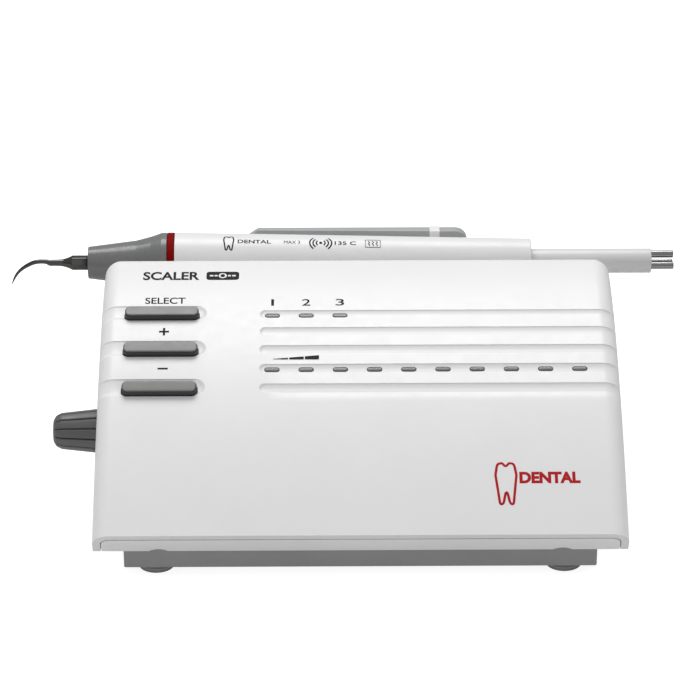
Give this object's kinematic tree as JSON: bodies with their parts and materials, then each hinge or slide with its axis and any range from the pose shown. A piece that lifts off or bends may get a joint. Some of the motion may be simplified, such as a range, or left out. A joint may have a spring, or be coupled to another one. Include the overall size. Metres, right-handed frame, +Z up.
{
  "type": "ultrasonic scaler",
  "caption": "Table-top ultrasonic dental scaler: wedge-shaped console with buttons, indicator windows and a water knob, and its handpiece with a hooked tip lying in a rear trough.",
  "frame": {"origin": "centre of the whole object seen from above, at the level of the feet", "axes": "+X to the right along the handpiece, +Y from the front edge to the rear sockets, +Z up"},
  "size_m": [0.2247, 0.1522, 0.0658],
  "materials": {
    "cover_white": "satin white moulded plastic",
    "shell_grey": "light grey moulded plastic",
    "base_grey": "dark grey moulded plastic",
    "rubber_black": "black rubber",
    "button_grey": "grey plastic",
    "lens_grey": "smoked light pipe plastic",
    "knob_grey": "charcoal plastic",
    "nose_grey": "grey autoclavable plastic",
    "holder_grey": "grey silicone",
    "accent_red": "red plastic",
    "steel": "polished steel",
    "brass": "turned brass",
    "aluminium": "extruded",
    "copper": "enamelled copper winding",
    "board_green": "glass epoxy board",
    "ceramic": "fired piezo ceramic",
    "tube_clear": "clear tube",
    "black_plastic": "black plastic"
  },
  "bodies": {
    "console": {"top_cover": "cover_white", "lower_shell": "shell_grey", "base_plate": "base_grey", "front_left_foot": "rubber_black", "front_right_foot": "rubber_black", "rear_left_foot": "rubber_black", "rear_right_foot": "rubber_black", "left_case_screw": "steel", "right_case_screw": "steel", "rear_panel": "shell_grey", "handpiece_holder": "holder_grey", "holder_clip": "cover_white", "mode_switch": "black_plastic", "plus_switch": "black_plastic", "minus_switch": "black_plastic", "mode_light_lens": "lens_grey", "power_light_lens": "lens_grey", "control_board": "board_green", "main_board": "board_green", "transformer_core": "steel", "transformer_coil": "copper", "heat_sink": "aluminium", "filter_capacitor": "black_plastic", "driver_module": "black_plastic", "water_valve_body": "brass", "valve_nut": "brass", "solenoid_valve_body": "brass", "solenoid_coil": "copper", "supply_tube": "tube_clear", "control_tube": "tube_clear", "hose_gland": "black_plastic", "water_inlet": "brass", "footswitch_socket": "steel", "power_socket": "black_plastic", "power_switch_frame": "black_plastic"},
    "handpiece": {"handpiece_body": "cover_white", "accent_ring": "accent_red", "nose_cone": "nose_grey", "transducer_horn": "steel", "front_piezo_disc": "ceramic", "middle_piezo_disc": "ceramic", "rear_piezo_disc": "ceramic", "clamp_bolt": "steel", "back_mass": "steel", "horn_seal": "rubber_black", "lamp_ring": "lens_grey", "scaler_tip": "steel", "tail_plug": "shell_grey", "upper_contact_pin": "steel", "rear_contact_pin": "steel", "front_contact_pin": "steel"},
    "water_control": {"water_knob": "knob_grey", "valve_spindle": "steel"},
    "power_rocker": {"power_rocker": "black_plastic"},
    "solenoid_plunger": {"solenoid_plunger": "steel"},
    "mode_button": {"mode_button": "button_grey"},
    "plus_button": {"plus_button": "button_grey"},
    "minus_button": {"minus_button": "button_grey"}
  },
  "joints": [
    {"name": "mode_button_press", "type": "slide", "parent": "console", "child": "mode_button", "axis": [0, 0.2943, -0.9557], "range_m": [0, 0.001], "stiffness_N_per_m": 400},
    {"name": "plus_button_press", "type": "slide", "parent": "console", "child": "plus_button", "axis": [0, 0.3799, -0.925], "range_m": [0, 0.001], "stiffness_N_per_m": 400},
    {"name": "minus_button_press", "type": "slide", "parent": "console", "child": "minus_button", "axis": [0, 0.4426, -0.8967], "range_m": [0, 0.001], "stiffness_N_per_m": 400},
    {"name": "water_knob_turn", "type": "hinge", "parent": "console", "child": "water_control", "pos_m": [-0.07905, -0.02608, 0.0303], "axis": [-1, 0, 0], "range_deg": [0, 270]},
    {"name": "power_rocker_tilt", "type": "hinge", "parent": "console", "child": "power_rocker", "pos_m": [-0.04105, 0.06468, 0.027], "axis": [1, 0, 0], "range_deg": [0, 16]},
    {"name": "solenoid_plunger_lift", "type": "slide", "parent": "console", "child": "solenoid_plunger", "axis": [0, 0, 1], "range_m": [0, 0.0015], "stiffness_N_per_m": 150},
    {"name": "handpiece_lift", "type": "slide", "parent": "console", "child": "handpiece", "axis": [0, 0, 1], "range_m": [0, 0.06]}
  ]
}
